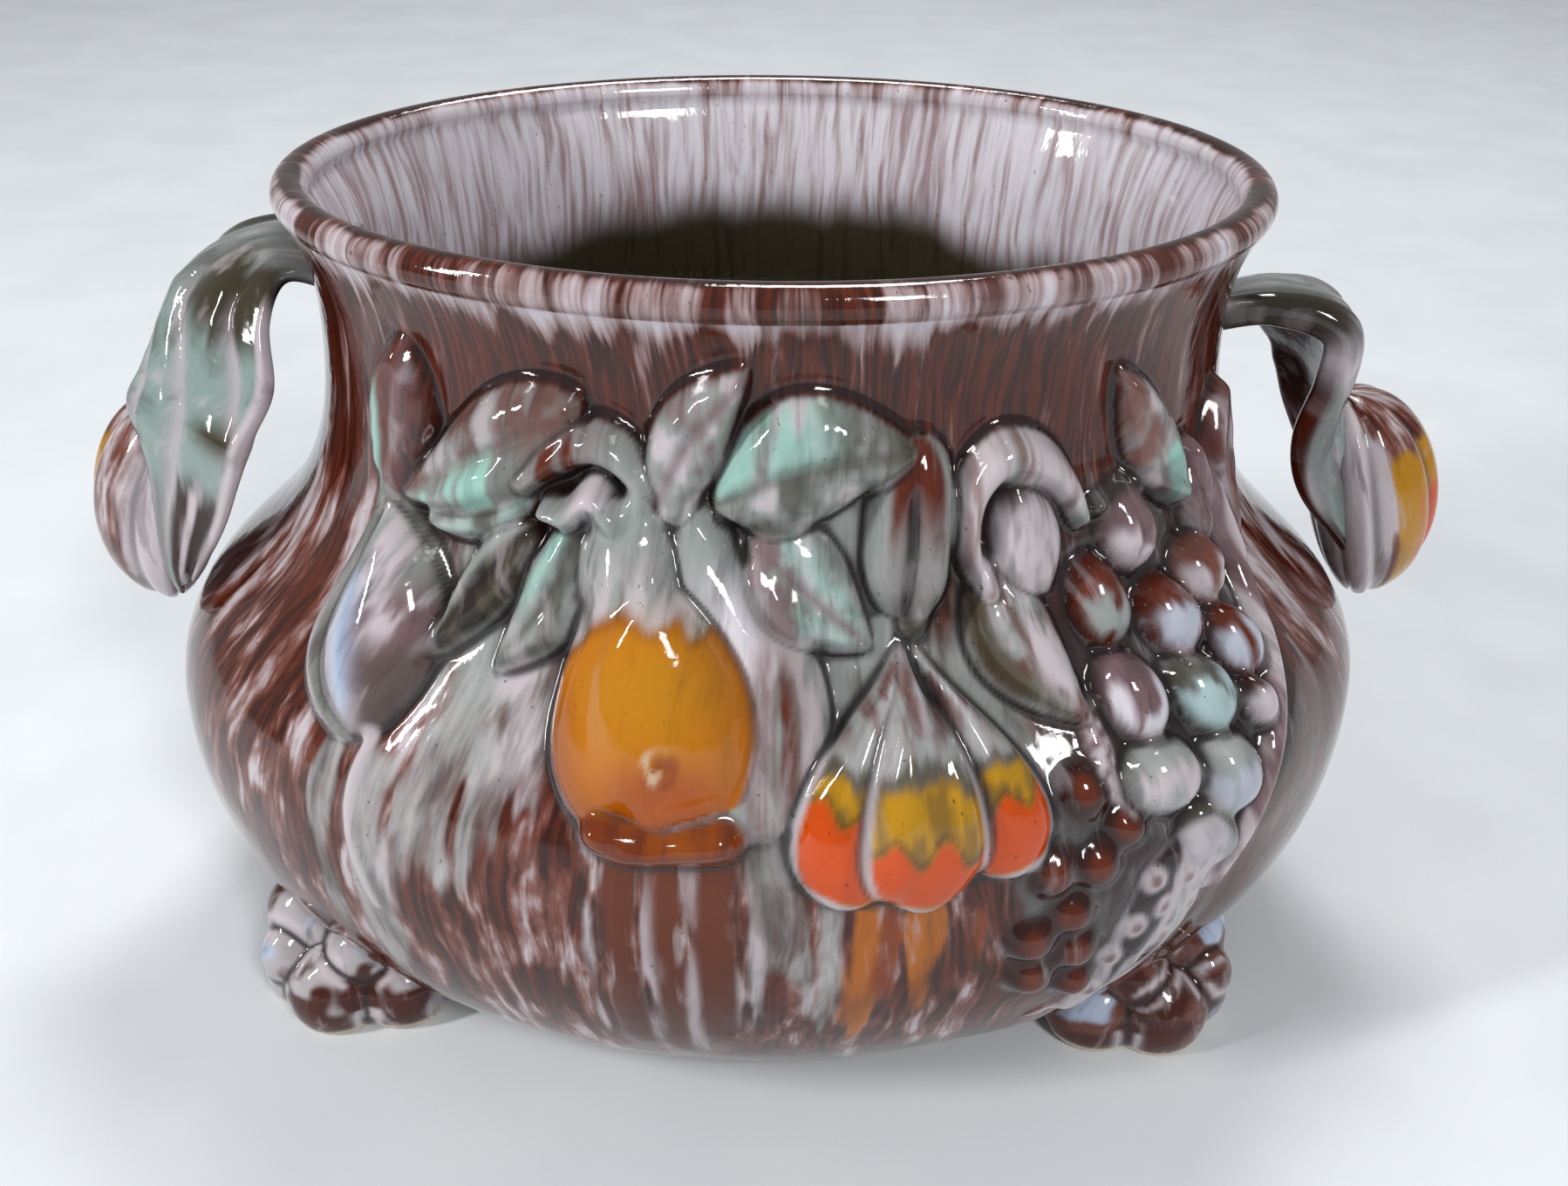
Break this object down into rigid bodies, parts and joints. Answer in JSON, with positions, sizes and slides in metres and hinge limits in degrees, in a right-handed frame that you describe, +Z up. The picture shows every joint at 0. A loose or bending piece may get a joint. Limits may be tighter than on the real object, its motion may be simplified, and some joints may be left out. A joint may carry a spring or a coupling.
{
  "type": "ceramic planter",
  "caption": "Oval glazed planter bowl on clay feet, with a rolled lip, leaf-shaped loop handles and a relief garland of fruit and leaves on both long sides.",
  "frame": {"origin": "on the table, under the bowl's centre", "axes": "+X along the bowl's length through the right handle, -Y towards the front, +Z up"},
  "size_m": [0.3688, 0.253, 0.2197],
  "materials": {
    "glaze_brown": "chestnut brown gloss glaze with lilac-white streaks",
    "glaze_plum": "lilac-grey gloss glaze, brown where it runs thin",
    "glaze_sage": "grey-green gloss glaze",
    "glaze_mint": "mint-green gloss glaze over brown",
    "glaze_amber": "translucent amber-yellow gloss glaze",
    "glaze_orange": "orange-red gloss glaze fading to lilac-grey"
  },
  "bodies": {
    "root": {"bowl": "glaze_brown", "front_pear_amber": "glaze_amber", "front_stem_curl": "glaze_sage", "front_leaf_crest": "glaze_sage", "front_leaf_broad": "glaze_mint", "front_pear_grey": "glaze_plum", "front_bud_centre": "glaze_orange", "front_bud_left": "glaze_orange", "front_bud_right": "glaze_orange", "front_pod_tulip": "glaze_brown", "front_leaf_under": "glaze_mint", "front_hood_seed": "glaze_plum", "front_hood_leaf": "glaze_sage", "front_grape_bunch": "glaze_plum", "front_leaf_curved": "glaze_sage", "front_berry_cluster": "glaze_brown", "front_leaf_vine_top": "glaze_sage", "front_leaf_edge": "glaze_sage", "front_leaf_pear_side": "glaze_mint", "front_leaf_dark": "glaze_brown", "front_leaf_crown": "glaze_brown", "front_leaf_crown_low": "glaze_mint", "front_fig": "glaze_plum", "front_leaf_far": "glaze_brown", "back_pear_amber": "glaze_amber", "back_stem_curl": "glaze_sage", "back_leaf_crest": "glaze_sage", "back_leaf_broad": "glaze_mint", "back_pear_grey": "glaze_plum", "back_bud_centre": "glaze_orange", "back_bud_left": "glaze_orange", "back_bud_right": "glaze_orange", "back_pod_tulip": "glaze_brown", "back_leaf_under": "glaze_mint", "back_hood_seed": "glaze_plum", "back_hood_leaf": "glaze_sage", "back_grape_bunch": "glaze_plum", "back_leaf_curved": "glaze_sage", "back_berry_cluster": "glaze_brown", "back_leaf_vine_top": "glaze_sage", "back_leaf_edge": "glaze_sage", "back_leaf_pear_side": "glaze_mint", "back_leaf_dark": "glaze_brown", "back_leaf_crown": "glaze_brown", "back_leaf_crown_low": "glaze_mint", "back_fig": "glaze_plum", "back_leaf_far": "glaze_brown", "handle_right_leaf": "glaze_mint", "handle_right_fruit": "glaze_orange", "handle_left_leaf": "glaze_mint", "handle_left_fruit": "glaze_orange", "foot_front_right": "glaze_plum", "foot_front_left": "glaze_plum", "foot_back_left": "glaze_plum", "foot_back_right": "glaze_plum"}
  },
  "joints": []
}
